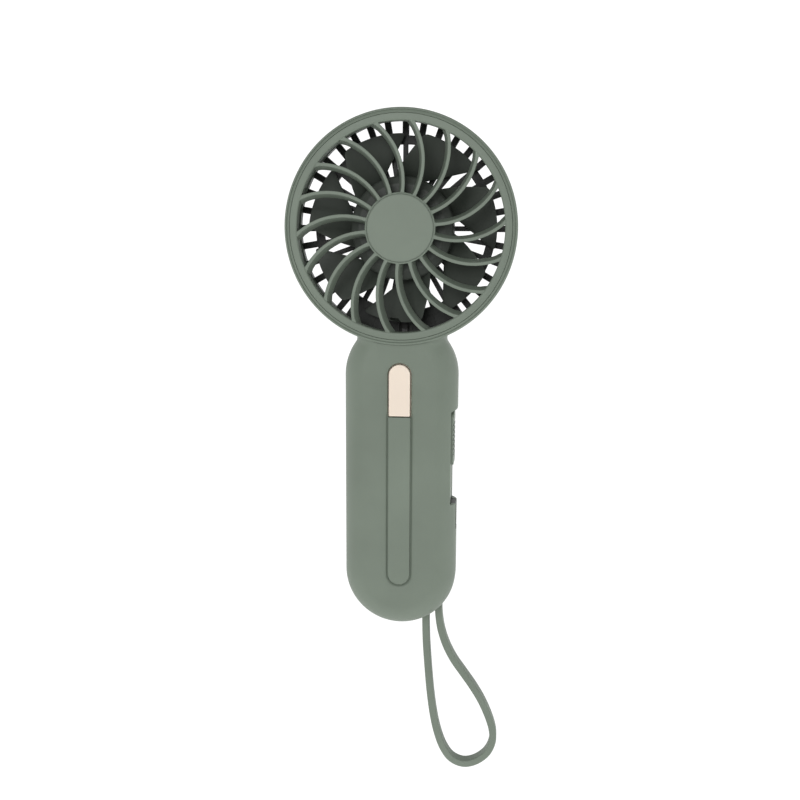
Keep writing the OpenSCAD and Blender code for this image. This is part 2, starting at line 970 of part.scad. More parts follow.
module switch_lever() {
    color([0.9, 0.9, 0.88])
        block([12.6, -0.8, lever_z[0]], [side_x - plate_t - 1.4, 0.8, lever_z[1]]);
}

front_shell();
rear_shell();
front_grille();
hub_badge();
rear_grille();
impeller();
rotor_cup();
magnet_ring();
motor_shaft();
shaft_clip();
front_bearing();
rear_bearing();
bearing_tube();
stator_core();
stator_windings();
motor_board();
motor_screws();
motor_leads();
battery_cell();
battery_pad();
battery_leads();
main_board();
board_parts();
board_screws();
usb_socket();
usb_tongue();
port_bezel();
tact_switch();
switch_plunger();
front_button();
front_strip();
side_panel();
side_slider();
slide_switch();
switch_lever();
shell_screws();
strap_pin();
wrist_strap();
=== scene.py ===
import json
import math

import bmesh
import bpy
from mathutils import Matrix, Vector


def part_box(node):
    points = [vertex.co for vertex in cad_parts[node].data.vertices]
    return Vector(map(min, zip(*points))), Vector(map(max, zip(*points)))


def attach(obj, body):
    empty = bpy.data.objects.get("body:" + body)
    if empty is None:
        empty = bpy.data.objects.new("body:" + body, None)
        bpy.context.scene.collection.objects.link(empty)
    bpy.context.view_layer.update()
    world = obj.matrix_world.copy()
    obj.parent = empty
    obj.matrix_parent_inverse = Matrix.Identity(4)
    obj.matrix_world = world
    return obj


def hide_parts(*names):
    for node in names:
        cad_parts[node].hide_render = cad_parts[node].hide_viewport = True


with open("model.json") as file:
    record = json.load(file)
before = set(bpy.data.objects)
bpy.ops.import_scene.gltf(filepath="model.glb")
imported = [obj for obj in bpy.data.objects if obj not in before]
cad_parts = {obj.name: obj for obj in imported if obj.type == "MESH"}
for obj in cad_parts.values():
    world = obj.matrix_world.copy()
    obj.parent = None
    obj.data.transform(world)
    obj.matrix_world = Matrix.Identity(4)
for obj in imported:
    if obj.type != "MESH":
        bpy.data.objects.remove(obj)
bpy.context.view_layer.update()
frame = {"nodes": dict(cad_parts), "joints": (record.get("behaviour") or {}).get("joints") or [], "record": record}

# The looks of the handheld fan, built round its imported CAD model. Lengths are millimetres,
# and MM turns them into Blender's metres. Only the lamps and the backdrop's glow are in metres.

MM = 0.001


# ---- sizes, in part read from the CAD model ----

def low(node):
    """Lowest corner of a CAD node, in mm."""
    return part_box(node)[0] / MM


def high(node):
    """Highest corner of a CAD node, in mm."""
    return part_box(node)[1] / MM


SPIN = next(j for j in frame["joints"] if j["name"] == "impeller_spin")

# body
HEAD_Z = SPIN["pos_m"][2] / MM
HEAD_R = high("front_shell").x
FACE_Y = high("rear_shell").y
FRONT_Y = low("front_grille").y
BOTTOM_Z = low("rear_shell").z
RING_R = high("front_grille").x
BORE_R = RING_R + 0.15
RIM_R = RING_R - 0.45
HALF_W = 22.7
EDGE_R = 9
WALL = 1.6
LOW_Z = BOTTOM_Z + HALF_W
TOP_Z = 44.6
NECK_FILLET = 2.8
LEDGE_T = 1.2
REAR_LEDGE_Y = 7.2
SHELL_GAP = 0.05

# front grille
OPENING_R = 40.1
SKIRT_Y = -7.3
LEDGE_Y = -8.4
HUB_R = 13.6
HUB_FRONT = FRONT_Y + 0.1
BADGE_R = high("hub_badge").x
RIBS = 18
RIB_FIRST = 6
RIB_W = 1.3
RIB_CURVE = 27.5
RIB_LEAN = 4
RIB_DEPTH = 4.8
RIB_SLANT = 1.45

# button and strip
STRIP_W = 8.7
STRIP_TOP = 49.8
STRIP_SEAM = 28.9
STRIP_LOW = -40.5
GROOVE_W = 0.75
STRIP_DEPTH = 1.1

# a place well clear of the body, where cutting tools end
FAR = 20


# ---- mesh helpers ----

def linked(name, data):
    """A new object in the scene."""
    made = bpy.data.objects.new(name, data)
    bpy.context.scene.collection.objects.link(made)
    return made


def new_piece(name, points, faces):
    """A mesh object with its normals facing out."""
    mesh = bpy.data.meshes.new(name)
    mesh.from_pydata([Vector(p) * MM for p in points], [], faces)
    bm = bmesh.new()
    bm.from_mesh(mesh)
    bmesh.ops.recalc_face_normals(bm, faces=bm.faces)
    bm.to_mesh(mesh)
    bm.free()
    return linked(name, mesh)


def loft(name, rings):
    """A closed solid through rings of equally many points, with a flat cap at each end."""
    n = len(rings[0])
    points = [p for ring in rings for p in ring]
    faces = []
    for i in range(len(rings) - 1):
        for k in range(n):
            a, b = i * n + k, i * n + (k + 1) % n
            faces.append([a, b, b + n, a + n])
    faces.append(list(range(n)))
    faces.append(list(range((len(rings) - 1) * n, len(rings) * n)))
    return new_piece(name, points, faces)


def turned(name, section, steps=240):
    """A ring round the head's axis, from a closed section of (radius, y)."""
    n = len(section)
    points = []
    faces = []
    for i in range(steps):
        a = 2 * math.pi * i / steps
        points += [(r * math.cos(a), y, HEAD_Z + r * math.sin(a)) for r, y in section]
        j = (i + 1) % steps
        for k in range(n):
            m = (k + 1) % n
            faces.append([i * n + k, i * n + m, j * n + m, j * n + k])
    return new_piece(name, points, faces)


def circle(r, x, y, z, steps):
    """Points of a circle that faces along y."""
    turns = [2 * math.pi * i / steps for i in range(steps)]
    return [(x + r * math.cos(a), y, z + r * math.sin(a)) for a in turns]


def disc(name, section, x=0, z=HEAD_Z, steps=160):
    """A solid of revolution along y, from an open section of (radius, y), front to back."""
    return loft(name, [circle(r, x, y, z, steps) for r, y in section])


def soften(corners, steps=6):
    """The closed outline through (u, v, radius) corners, each rounded with an arc."""
    outline = []
    n = len(corners)
    for i, (u, v, radius) in enumerate(corners):
        p = Vector((u, v))
        if radius == 0:
            outline.append((u, v))
            continue
        back = (Vector(corners[i - 1][:2]) - p).normalized()
        ahead = (Vector(corners[(i + 1) % n][:2]) - p).normalized()
        half = math.acos(max(-1, min(1, back.dot(ahead)))) / 2
        start = p + back * radius / math.tan(half)
        centre = p + (back + ahead).normalized() * radius / math.sin(half)
        a0 = math.atan2(*(start - centre).yx)
        end = p + ahead * radius / math.tan(half)
        a1 = math.atan2(*(end - centre).yx)
        sweep = (a1 - a0 + math.pi) % (2 * math.pi) - math.pi
        for k in range(steps + 1):
            a = a0 + sweep * k / steps
            outline.append((centre.x + radius * math.cos(a), centre.y + radius * math.sin(a)))
    return outline


def arc(radius, a0, a1, steps):
    """(u, v) points on an arc about the origin, both ends included, angles in degrees."""
    angles = [math.radians(a0 + (a1 - a0) * k / steps) for k in range(steps + 1)]
    return [(radius * math.cos(a), radius * math.sin(a)) for a in angles]


def rounded_box(name, corner, opposite, radius, steps=4):
    """A box between two corners, with every edge rounded."""
    corner, opposite = Vector(corner), Vector(opposite)
    bm = bmesh.new()
    bmesh.ops.create_cube(bm, size=1)
    size = opposite - corner
    middle = (corner + opposite) / 2
    for v in bm.verts:
        v.co = Vector(c * s for c, s in zip(v.co, size)) + middle
    bmesh.ops.bevel(bm, geom=bm.edges, offset=radius, segments=steps, profile=0.5,
                    affect="EDGES")
    bmesh.ops.scale(bm, vec=(MM, MM, MM), verts=bm.verts)
    mesh = bpy.data.meshes.new(name)
    bm.to_mesh(mesh)
    bm.free()
    return linked(name, mesh)


def join(name, pieces):
    """Several meshes as one."""
    bm = bmesh.new()
    for piece in pieces:
        bm.from_mesh(piece.data)
        bpy.data.objects.remove(piece)
    mesh = bpy.data.meshes.new(name)
    bm.to_mesh(mesh)
    bm.free()
    return linked(name, mesh)


def turn(piece, degrees):
    """Turns a piece's mesh round the head's axis, anticlockwise seen from the front."""
    centre = Vector((0, 0, HEAD_Z)) * MM
    rotation = Matrix.Rotation(-math.radians(degrees), 4, "Y")
    piece.data.transform(Matrix.Translation(centre) @ rotation @ Matrix.Translation(-centre))
    return piece


def combine(piece, other, operation):
    """Boolean of two closed meshes, applied at once. The other piece is used up."""
    modifier = piece.modifiers.new("combine", "BOOLEAN")
    modifier.operation = operation
    modifier.solver = "MANIFOLD"
    modifier.object = other
    graph = bpy.context.evaluated_depsgraph_get()
    mesh = bpy.data.meshes.new_from_object(piece.evaluated_get(graph))
    piece.modifiers.clear()
    piece.data = mesh
    bpy.data.objects.remove(other)
    return piece


def add(piece, other):
    """Grows a piece by another."""
    return combine(piece, other, "UNION")


def cut(piece, other):
    """Takes another piece's space out of a piece."""
    return combine(piece, other, "DIFFERENCE")


def smooth(piece, degrees=32):
    """Smooth shading, with edges that turn more than this kept sharp."""
    piece.data.shade_smooth()
    piece.data.set_sharp_from_angle(angle=math.radians(degrees))
    even = piece.modifiers.new("even_normals", "WEIGHTED_NORMAL")
    even.keep_sharp = True
    return piece


# ---- materials ----

def nodes_of(name):
    """A new material with a Principled shader, its node tree and its shader."""
    material = bpy.data.materials.new(name)
    material.use_nodes = True
    tree = material.node_tree
    return material, tree, tree.nodes["Principled BSDF"]


def noise(tree, scale, detail=4, roughness=0.55):
    """A noise texture in the object's own space, in cells per metre."""
    place = tree.nodes.new("ShaderNodeTexCoord")
    texture = tree.nodes.new("ShaderNodeTexNoise")
    texture.inputs["Scale"].default_value = scale
    texture.inputs["Detail"].default_value = detail
    texture.inputs["Roughness"].default_value = roughness
    tree.links.new(place.outputs["Object"], texture.inputs["Vector"])
    return texture.outputs["Fac"]


def ramp(tree, source, stops):
    """Maps a value to colours: stops are (position, colour)."""
    node = tree.nodes.new("ShaderNodeValToRGB")
    while len(node.color_ramp.elements) < len(stops):
        node.color_ramp.elements.new(0.5)
    for element, (position, colour) in zip(node.color_ramp.elements, stops):
        element.position = position
        element.color = (*colour, 1)
    tree.links.new(source, node.inputs["Fac"])
    return node.outputs["Color"]


def map_range(tree, source, ends):
    """A node that maps a value from one range to another."""
    node = tree.nodes.new("ShaderNodeMapRange")
    for socket, value in zip(("From Min", "From Max", "To Min", "To Max"), ends):
        node.inputs[socket].default_value = value
    tree.links.new(source, node.inputs["Value"])
    return node


def spread(tree, source, lowest, highest):
    """Maps a noise value to a range."""
    return map_range(tree, source, (0.3, 0.7, lowest, highest)).outputs["Result"]


def bump(tree, source, height, before=None):
    """A bump of that height in mm, on top of another one if given."""
    node = tree.nodes.new("ShaderNodeBump")
    node.inputs["Strength"].default_value = 1
    node.inputs["Distance"].default_value = height * MM
    tree.links.new(source, node.inputs["Height"])
    if before:
        tree.links.new(before, node.inputs["Normal"])
    return node.outputs["Normal"]


def shade(colour, factor):
    """A colour made brighter or darker."""
    return tuple(c * factor for c in colour)


def edge_highlight_crease_shade(tree, colour, lighter, darker):
    """Base colour lighter on convex edges as a painted highlight, and darker in creases as painted shade."""
    geometry = tree.nodes.new("ShaderNodeNewGeometry")
    # painted light: pointiness lightens convex edges as a painted highlight and darkens creases as painted shade
    edges = ramp(tree, geometry.outputs["Pointiness"],
                 [(0.46, (darker,) * 3), (0.5, (1, 1, 1)), (0.56, (lighter,) * 3)])
    mix = tree.nodes.new("ShaderNodeMix")
    mix.data_type = "RGBA"
    mix.blend_type = "MULTIPLY"
    mix.inputs["Factor"].default_value = 1
    tree.links.new(colour, mix.inputs["A"])
    tree.links.new(edges, mix.inputs["B"])
    return mix.outputs["Result"]


def moulded(name, colour, roughness, grain=0.012, spotted=0.06):
    """Matte moulded plastic: fine spark-eroded grain, faint flow marks, uneven gloss, painted shade in creases and
    a painted highlight on edges.
    """
    material, tree, shader = nodes_of(name)
    flow = noise(tree, 38, 3)
    base = ramp(tree, flow, [(0.3, shade(colour, 1 - spotted)), (0.7, shade(colour, 1 + spotted))])
    # painted highlight on convex edges and painted shade in creases
    tree.links.new(edge_highlight_crease_shade(tree, base, 1.06, 0.9), shader.inputs["Base Color"])
    fine = noise(tree, 2600, 3, 0.6)
    tree.links.new(spread(tree, fine, roughness - 0.05, roughness + 0.05),
                   shader.inputs["Roughness"])
    broad = bump(tree, noise(tree, 420, 2), grain * 1.5)
    tree.links.new(bump(tree, fine, grain, before=broad), shader.inputs["Normal"])
    shader.inputs["Specular IOR Level"].default_value = 0.4
    return material


def metal(name, colour, roughness, brushed=(1, 1, 1)):
    """Machined or pressed metal, with fine lines when brushed stretches the noise."""
    material, tree, shader = nodes_of(name)
    place = tree.nodes.new("ShaderNodeTexCoord")
    stretch = tree.nodes.new("ShaderNodeMapping")
    stretch.inputs["Scale"].default_value = brushed
    lines = tree.nodes.new("ShaderNodeTexNoise")
    lines.inputs["Scale"].default_value = 1800
    lines.inputs["Detail"].default_value = 3
    tree.links.new(place.outputs["Object"], stretch.inputs["Vector"])
    tree.links.new(stretch.outputs["Vector"], lines.inputs["Vector"])
    tone = ramp(tree, lines.outputs["Fac"], [(0.3, shade(colour, 0.86)), (0.7, colour)])
    tree.links.new(tone, shader.inputs["Base Color"])
    tree.links.new(spread(tree, lines.outputs["Fac"], roughness - 0.06, roughness + 0.08),
                   shader.inputs["Roughness"])
    tree.links.new(bump(tree, lines.outputs["Fac"], 0.004), shader.inputs["Normal"])
    shader.inputs["Metallic"].default_value = 1
    return material


def board_mask(name):
    """Green solder mask with faint copper traces showing through."""
    material, tree, shader = nodes_of(name)
    place = tree.nodes.new("ShaderNodeTexCoord")
    traces = tree.nodes.new("ShaderNodeTexBrick")
    traces.inputs["Scale"].default_value = 260
    traces.inputs["Color1"].default_value = (0.02, 0.13, 0.05, 1)
    traces.inputs["Color2"].default_value = (0.025, 0.15, 0.06, 1)
    traces.inputs["Mortar"].default_value = (0.05, 0.24, 0.1, 1)
    traces.inputs["Mortar Size"].default_value = 0.04
    tree.links.new(place.outputs["Object"], traces.inputs["Vector"])
    tree.links.new(traces.outputs["Color"], shader.inputs["Base Color"])
    tree.links.new(spread(tree, noise(tree, 900), 0.28, 0.4), shader.inputs["Roughness"])
    tree.links.new(bump(tree, traces.outputs["Fac"], 0.02), shader.inputs["Normal"])
    return material


SAGE = (0.190, 0.229, 0.184)
CREAM = (0.965, 0.84, 0.71)
# painted shade: the impeller's green is the sage darkened to about a third, as dark as the blades look in the
# shade of the duct
SAGE_IN_PAINTED_SHADE = (0.058, 0.068, 0.057)
BLACK = (0.022, 0.025, 0.022)

MATERIALS = {
    "green_plastic": moulded("sage_plastic", SAGE, 0.5),
    "cream_plastic": moulded("cream_plastic", CREAM, 0.36, grain=0.004, spotted=0.015),
    # the impeller gets the sage in painted shade
    "dark_green_plastic": moulded("impeller_plastic", SAGE_IN_PAINTED_SHADE, 0.5),
    "black_plastic": moulded("black_plastic", BLACK, 0.46),
    "white_plastic": moulded("white_plastic", (0.8, 0.79, 0.75), 0.4),
    "steel": metal("steel", (0.62, 0.62, 0.63), 0.3),
    "magnet": metal("magnet_coating", (0.12, 0.12, 0.13), 0.5),
    "brass": metal("brass", (0.7, 0.5, 0.2), 0.32),
    "copper": metal("enamelled_copper", (0.6, 0.24, 0.1), 0.35, brushed=(1, 6, 1)),
    "circuit_board": board_mask("solder_mask"),
    "wire_jacket": moulded("wire_jacket", (0.35, 0.02, 0.02), 0.45),
    "black_wire": moulded("black_wire", (0.012, 0.011, 0.01), 0.45),
    "black_steel": metal("black_steel", (0.05, 0.05, 0.052), 0.42),
    "cell_foil": metal("cell_foil", (0.5, 0.52, 0.55), 0.42, brushed=(1, 1, 4)),
    "foam": moulded("foam", (0.03, 0.03, 0.032), 0.9, grain=0.08),
    "strap_rubber": moulded("strap_rubber", (0.185, 0.222, 0.179), 0.58, grain=0.016),
}
SLOT_OF = {s["node"]: s["material_slot"] for s in frame["record"]["subparts"]}


def dress(piece, body, *replaced):
    """Gives a piece its body, the CAD nodes that it stands for, their slot and material."""
    slot = SLOT_OF[replaced[0]]
    piece.data.materials.clear()
    piece.data.materials.append(MATERIALS[slot])
    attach(piece, body)
    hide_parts(*replaced)
    return piece


# ---- camera and wrist strap ----

def make_camera():
    """A perspective view from just right of the fan, level with its head."""
    data = bpy.data.cameras.new("camera")
    data.sensor_width = 36
    data.lens = 45.13
    camera = linked("camera", data)
    right = Vector((0.9945, 0.1047, 0.0050))
    up = Vector((-0.0222, 0.1634, 0.9863))
    back = Vector((0.1025, -0.9810, 0.1648))
    place = Matrix((right, up, back)).transposed().to_4x4()
    place.translation = Vector((40.85, -399.29, 100.93)) * MM
    camera.matrix_world = place
    bpy.context.scene.camera = camera


make_camera()

STRAP_Y = 6.6
STRAP_T = 3
STRAP_W = 5
STRAP_EDGE_R = 0.55
STRAP_ROUTE = [
    (12.75, -43.95), (11.1, -44.7), (10.35, -46.5), (10.2, -53), (10.1, -61), (10.4, -71),
    (11.2, -82), (12.2, -93), (13.7, -104), (15.6, -112.5), (18.2, -119.4), (21.8, -124.2),
    (27, -126.2), (32.3, -124.8), (37, -120.8), (39.3, -115.5), (39.3, -110.5), (37.6, -104.5),
    (34.4, -97.2), (30.6, -90.8), (26.4, -84.8), (22.2, -78.8), (19, -72.6), (16.8, -66),
    (15.7, -59.5), (15.45, -53), (15.45, -46.5), (14.7, -44.7), (13.05, -43.95)]


def curve_through(route, steps):
    """A smooth line through the route's points, with one cubic piece between each two."""
    points = [Vector(p) for p in route]
    line = []
    for i in range(len(points) - 1):
        p1, p2 = points[i], points[i + 1]
        p0 = points[i - 1] if i else p1 * 2 - p2
        p3 = points[i + 2] if i + 2 < len(points) else p2 * 2 - p1
        span = (p2 - p1).length
        m1 = (p2 - p0) * span / max((p1 - p0).length + span, 1e-6)
        m2 = (p3 - p1) * span / max((p3 - p2).length + span, 1e-6)
        for k in range(steps):
            t = k / steps
            a = 2 * t ** 3 - 3 * t ** 2 + 1
            b = t ** 3 - 2 * t ** 2 + t
            c = -2 * t ** 3 + 3 * t ** 2
            d = t ** 3 - t ** 2
            line.append(p1 * a + m1 * b + p2 * c + m2 * d)
    line.append(points[-1])
    return line


def make_strap():
    """A flat rubber band with rounded edges, seen edge on, that hangs in one loop."""
    line = curve_through(STRAP_ROUTE, 8)
    t, w = STRAP_T / 2, STRAP_W / 2
    section = soften([(u, v, STRAP_EDGE_R) for u, v in ((-t, -w), (t, -w), (t, w), (-t, w))], 5)
    rings = []
    for i, p in enumerate(line):
        along = (line[min(i + 1, len(line) - 1)] - line[max(i - 1, 0)]).normalized()
        across = Vector((-along.y, along.x))
        rings.append([(p.x + across.x * u, STRAP_Y + v, p.y + across.y * u)
                      for u, v in section])
    strap = smooth(loft("strap_band", rings), 60)
    dress(strap, "housing", "wrist_strap")


make_strap()


# ---- shells ----

def body_outline(inset, head_r):
    """Outline of handle and head together in x and z, with a fillet where they meet."""
    r = HALF_W - inset
    reach = HEAD_Z - TOP_Z
    to_head, to_handle = head_r + NECK_FILLET, r + NECK_FILLET
    drop = (reach ** 2 + to_head ** 2 - to_handle ** 2) / (2 * reach)
    centre = Vector((math.sqrt(to_head ** 2 - drop ** 2), HEAD_Z - drop))
    shoulder = math.degrees(math.atan2(centre.y - TOP_Z, centre.x))
    neck = math.degrees(math.atan2(centre.y - HEAD_Z, centre.x))
    right = [(u, LOW_Z + v) for u, v in arc(r, -90, 0, 28)]
    right += [(r, LOW_Z + (TOP_Z - LOW_Z) * k / 24) for k in range(1, 24)]
    right += [(u, TOP_Z + v) for u, v in arc(r, 0, shoulder, 20)]
    right += [(centre.x + u, centre.y + v)
              for u, v in arc(NECK_FILLET, shoulder + 180, neck + 180, 8)[1:-1]]
    right += [(u, HEAD_Z + v) for u, v in arc(head_r, neck, 90, 110)]
    left = [(-x, z) for x, z in right[-2:0:-1]]
    return right + left


def cavity_outline(inset):
    """Outline of the hollow in the handle: it stops below the head."""
    r = HALF_W - inset
    reach = HEAD_Z - TOP_Z
    drop = (reach ** 2 + HEAD_R ** 2 - r ** 2) / (2 * reach)
    x = math.sqrt(HEAD_R ** 2 - drop ** 2)
    shoulder = math.degrees(math.atan2(reach - drop, x))
    neck = math.degrees(math.atan2(-drop, x))
    right = [(u, LOW_Z + v) for u, v in arc(r, -90, 0, 24)]
    right += [(u, TOP_Z + v) for u, v in arc(r, 0, shoulder, 16)]
    right += [(u, HEAD_Z + v) for u, v in arc(HEAD_R, neck, -90, 16)[1:]]
    return right + [(-x, z) for x, z in right[-2:0:-1]]


def edge_levels(thickness, radius, steps):
    """(inset, y) pairs from the middle plane out to a flat face, round the long edge."""
    levels = [(0, 0)]
    for u, v in arc(radius, 0, 90, steps):
        levels.append((radius - u, thickness - radius + v))
    return levels


def outer_form(side, rim):
    """Half of the body as a solid. Side is -1 for the front; rim rounds the head's edge.

    The front's head is a drum that stands forward of the handle, just outside the loft.
    """
    rings = []
    for inset, y in edge_levels(FACE_Y, EDGE_R, 22):
        head_inset = 0.05 if side < 0 else 0
        if side > 0 and y > FACE_Y - rim:
            head_inset = rim - math.sqrt(max(0, rim ** 2 - (y - FACE_Y + rim) ** 2))
        rings.append([(x, side * y, z) for x, z in body_outline(inset, HEAD_R - head_inset)])
    form = loft("body_half", rings)
    if side < 0:
        inner = 0.22
        edge = [(BORE_R + inner - u, FRONT_Y + inner - v) for u, v in arc(inner, 0, 90, 5)]
        edge += [(HEAD_R - rim + u, FRONT_Y + rim - v) for v, u in arc(rim, 90, 0, 8)]
        edge.append((HEAD_R, -0.02))
        add(form, disc("drum", edge, steps=320))
    return form


def inner_form(side, depth):
    """The same half drawn in all round by depth, to trim what stands inside the shell."""
    return loft("inner_form", [
        [(x, side * y, z) for x, z in body_outline(depth + inset, HEAD_R - depth)]
        for inset, y in edge_levels(FACE_Y - depth, EDGE_R - depth, 16)])


def hollow(shell, side):
    """Cuts the head's bore, the handle's hollow and the side's recess out of a shell."""
    cut(shell, disc("bore", [(BORE_R, -FAR), (BORE_R, FAR)], steps=320))
    rings = [[(x, -side, z) for x, z in cavity_outline(WALL)]]
    for inset, y in edge_levels(FACE_Y - WALL, EDGE_R - WALL, 12):
        rings.append([(x, side * y, z) for x, z in cavity_outline(WALL + inset)])
    cut(shell, loft("hollow", rings))
    panel_low, panel_high = low("side_panel"), high("side_panel")
    half_panel, half_port = 8, high("port_bezel").y + SHELL_GAP
    floor_x = panel_low.x - 2.4
    for half_y, z0, z1 in [
            (half_panel, panel_low.z - SHELL_GAP, panel_high.z + SHELL_GAP),
            (half_port, low("port_bezel").z - SHELL_GAP, panel_low.z + 1)]:
        cut(shell, rounded_box("recess", (floor_x, -half_y, z0), (HALF_W + 4, half_y, z1), 0.25))
    outside, top = HALF_W + 1, panel_high.z
    cut(shell, loft("flare", [[(panel_high.x, y, top), (outside, y, top + 1.4),
                               (outside, y, top - 1)] for y in (-half_panel, half_panel)]))
    return shell


def strip_ring(grow, y, low_z, high_z, square=False):
    """Outline of the front strip, or of the button when its low end is square."""
    r = STRIP_W / 2 + grow
    c0, c1 = low_z + STRIP_W / 2, high_z - STRIP_W / 2
    points = [(u, c1 + v) for u, v in arc(r, 0, 180, 32)]
    if square:
        corner = 0.45
        for side, start in ((-1, 180), (1, 270)):
            for u, v in arc(corner, start, start + 90, 6):
                points.append((side * (r - corner) + u, low_z - grow + corner + v))
    else:
        points += [(u, c0 + v) for u, v in arc(r, 180, 360, 32)]
    return [(x, y, z) for x, z in points]


def screw_places(node):
    """Middle of each separate solid of a CAD node, as (x, z) in mm."""
    mesh = frame["nodes"][node].data
    bm = bmesh.new()
    bm.from_mesh(mesh)
    bmesh.ops.remove_doubles(bm, verts=bm.verts, dist=1e-6)
    left = set(bm.verts)
    places = []
    while left:
        stack = [left.pop()]
        island = list(stack)
        while stack:
            for edge in stack.pop().link_edges:
                for v in edge.verts:
                    if v in left:
                        left.remove(v)
                        stack.append(v)
                        island.append(v)
        xs = [v.co.x / MM for v in island]
        zs = [v.co.z / MM for v in island]
        places.append(((min(xs) + max(xs)) / 2, (min(zs) + max(zs)) / 2))
    bm.free()
    return sorted(places)


SHELL_SCREWS = screw_places("shell_screws")


def add_ledge(shell, r_in, y):
    """A step in the bore that a grille rests on."""
    r_out = BORE_R + 0.5
    add(shell, turned("ledge", [(r_in, y), (r_out, y), (r_out, y + LEDGE_T), (r_in, y + LEDGE_T)]))


def add_post(shell, side, profile, x, z):
    """A screw post, trimmed where the shell's edge rounds off."""
    post = disc("post", profile, x, z, 48)
    add(shell, combine(post, inner_form(side, WALL / 2), "INTERSECT"))


def make_front_shell():
    """Front half of the body, with the dip round the button and the strip's groove."""
    shell = hollow(outer_form(-1, 0.8), -1)
    inside = -FACE_Y + WALL
    half_backing, thread_r, before_face = 7.5, 1.02, -13
    add(shell, rounded_box("backing", (-half_backing, inside - 0.3, -44),
                           (half_backing, inside + 1.1, 54), 0.2))
    add_ledge(shell, 42, LEDGE_Y)
    for x, z in SHELL_SCREWS:
        add_post(shell, -1, [(2.9, inside - 0.5), (2.9, -0.3), (2.6, -0.05)], x, z)
        cut(shell, disc("thread", [(thread_r, -7.2), (thread_r, 1)], x, z, 32))
    rise = [(2.9, 0), (2.3, 0.02), (1.75, 0.07), (1.3, 0.14), (0.9, 0.24), (0.62, 0.38),
            (0.45, 0.56), (0.35, 0.85)]
    hole = [(2.9, before_face)] + [(g, y - FACE_Y) for g, y in rise] + [(0.35, -8)]
    cut(shell, loft("button_hole", [strip_ring(g, y, STRIP_SEAM, STRIP_TOP, True)
                                    for g, y in hole]))
    fall = [(2.6, 0), (2, 0.02), (1.45, 0.07), (1, 0.14), (0.6, 0.24), (0.3, 0.38), (0.08, 0.56),
            (-0.1, 0.8), (-0.3, STRIP_DEPTH - 0.05), (-0.45, STRIP_DEPTH)]
    groove = [(GROOVE_W + 2.6, before_face)] + [(GROOVE_W + g, y - FACE_Y) for g, y in fall]
    cut(shell, loft("groove", [strip_ring(g, y, STRIP_LOW, STRIP_SEAM + STRIP_W / 2)
                               for g, y in groove]))
    return dress(smooth(shell, 28), "housing", "front_shell")


def make_rear_shell():
    """Back half of the body, with its screw holes and the slot for the strap."""
    shell = hollow(outer_form(1, 1.1), 1)
    add_ledge(shell, RIM_R, REAR_LEDGE_Y)
    x0, x1, y0, y1, top = 7.9, 17.9, 3.8, 9.4, -42.4
    wall, below = 1.3, BOTTOM_Z - 3
    pocket = rounded_box("pocket", (x0 - wall, y0 - wall, below),
                         (x1 + wall, FACE_Y + 3, top + wall), 0.3)
    combine(pocket, inner_form(1, 0.03), "INTERSECT")
    add(shell, pocket)
    cut(shell, rounded_box("slot", (x0, y0, below - 2), (x1, y1, top), 0.5))
    shank_r, pin_r = 1.15, 1.02
    sink = [(2.15, FACE_Y - 2.4), (2.15, FACE_Y - 0.6), (2.35, FACE_Y + 0.2), (2.6, FACE_Y + 1)]
    for x, z in SHELL_SCREWS:
        add_post(shell, 1, [(2.8, 0.05), (3.2, 0.4), (3.2, FACE_Y - WALL + 0.5)], x, z)
        cut(shell, disc("shank", [(shank_r, -1), (shank_r, 9)], x, z, 32))
        cut(shell, disc("sink", sink, x, z, 48))
    pin_x, pin_z = screw_places("strap_pin")[0]
    cut(shell, disc("pin_hole", [(pin_r, 2.3), (pin_r, 10.1)], pin_x, pin_z, 32))
    cut(shell, rounded_box("wire_way", (-4, 5, HEAD_Z - 47),
                           (4, low("rear_grille").y + 1.6, HEAD_Z - 42), 0.4))
    return dress(smooth(shell, 28), "housing", "rear_shell")


make_front_shell()
make_rear_shell()


# ---- front grille ----

def make_rib():
    """One curved vane with a rounded front, which leans anticlockwise towards its back."""
    front = FRONT_Y + 0.3
    back = front + RIB_DEPTH
    cx = HUB_R + 0.1 + RIB_CURVE * math.sin(math.radians(RIB_LEAN))
    cz = RIB_CURVE * math.cos(math.radians(RIB_LEAN))
    steps, start, end = 50, -6.5, 84
    edge_r, taper, flare, flare_length, past_ring = 0.25, 0.1, 0.2, 1.2, 5
    rings = []
    for i in range(steps + 1):
        a = math.radians(start + (end - start) * i / steps)
        x, z = cx + RIB_CURVE * math.sin(a), cz - RIB_CURVE * math.cos(a)
        r = math.hypot(x, z)
        if r > OPENING_R + past_ring:
            break
        near = max(0, 1 - (r - HUB_R) / flare_length, 1 - (OPENING_R - r) / flare_length)
        half = RIB_W / 2 + flare * min(1, near) ** 2
        out = Vector((math.sin(a), -math.cos(a)))
        section = soften([(-half, front, edge_r), (half, front, edge_r),
                          (half - taper - RIB_SLANT, back, edge_r),
                          (-half + taper - RIB_SLANT, back, edge_r)], 5)
        rings.append([(x + out.x * u, y, HEAD_Z + z + out.y * u) for u, y in section])
    return loft("rib", rings)


